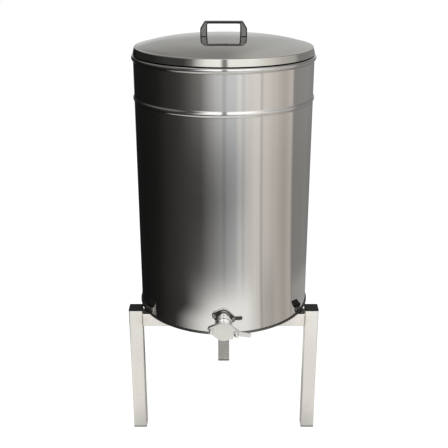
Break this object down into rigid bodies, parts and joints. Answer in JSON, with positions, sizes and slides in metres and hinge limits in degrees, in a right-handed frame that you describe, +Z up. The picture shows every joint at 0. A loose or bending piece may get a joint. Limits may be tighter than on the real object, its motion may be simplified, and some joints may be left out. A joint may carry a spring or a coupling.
{
  "type": "honey settling tank",
  "caption": "Tall round steel honey settling tank with a domed lid, a swing-blade honey gate low at the front and a square-tube tripod stand.",
  "frame": {"origin": "middle of the whole object's footprint on the floor", "axes": "+Z up, the honey gate faces -Y, its lever points to +X"},
  "size_m": [0.56, 0.6225, 1.2219],
  "materials": {
    "frame_steel": "bright rolled stainless square tube with welded corners",
    "black_plastic": "moulded black plastic, satin",
    "tank_steel": "polished stainless sheet with a fine ring grain",
    "lid_steel": "spun stainless sheet with a fine ring grain",
    "gate_steel": "cast and polished stainless",
    "bolt_steel": "plain stainless fasteners",
    "rubber": "food grade black rubber",
    "handle_plastic": "moulded black plastic with a soft shine"
  },
  "bodies": {
    "stand": {"leg_left": "frame_steel", "leg_right": "frame_steel", "leg_rear": "frame_steel", "cross_bar": "frame_steel", "rear_bar": "frame_steel", "top_cap_left": "black_plastic", "top_cap_right": "black_plastic", "top_cap_rear": "black_plastic", "foot_left": "black_plastic", "foot_right": "black_plastic", "foot_rear": "black_plastic"},
    "tank": {"tank_shell": "tank_steel", "tank_base": "tank_steel", "outlet_socket": "gate_steel", "gate_gasket": "rubber", "gate_body": "gate_steel", "gate_seal": "rubber", "pivot_bolt": "bolt_steel", "clamp_bolt": "bolt_steel", "pivot_washer": "bolt_steel", "clamp_washer": "bolt_steel", "pivot_nut": "gate_steel", "clamp_nut": "gate_steel"},
    "gate_blade": {"gate_blade": "gate_steel"},
    "lid": {"lid_shell": "lid_steel", "lid_handle": "handle_plastic", "handle_screws": "bolt_steel", "handle_washers": "bolt_steel"}
  },
  "joints": [
    {"name": "tank_lift", "type": "slide", "parent": "stand", "child": "tank", "axis": [0, 0, 1], "range_m": [0, 0.1]},
    {"name": "lid_lift", "type": "slide", "parent": "tank", "child": "lid", "axis": [0, 0, 1], "range_m": [0, 0.55]},
    {"name": "gate_swing", "type": "hinge", "parent": "tank", "child": "gate_blade", "pos_m": [-0.03457, -0.29295, 0.43347], "axis": [0, -1, 0], "range_deg": [0, 95]}
  ]
}
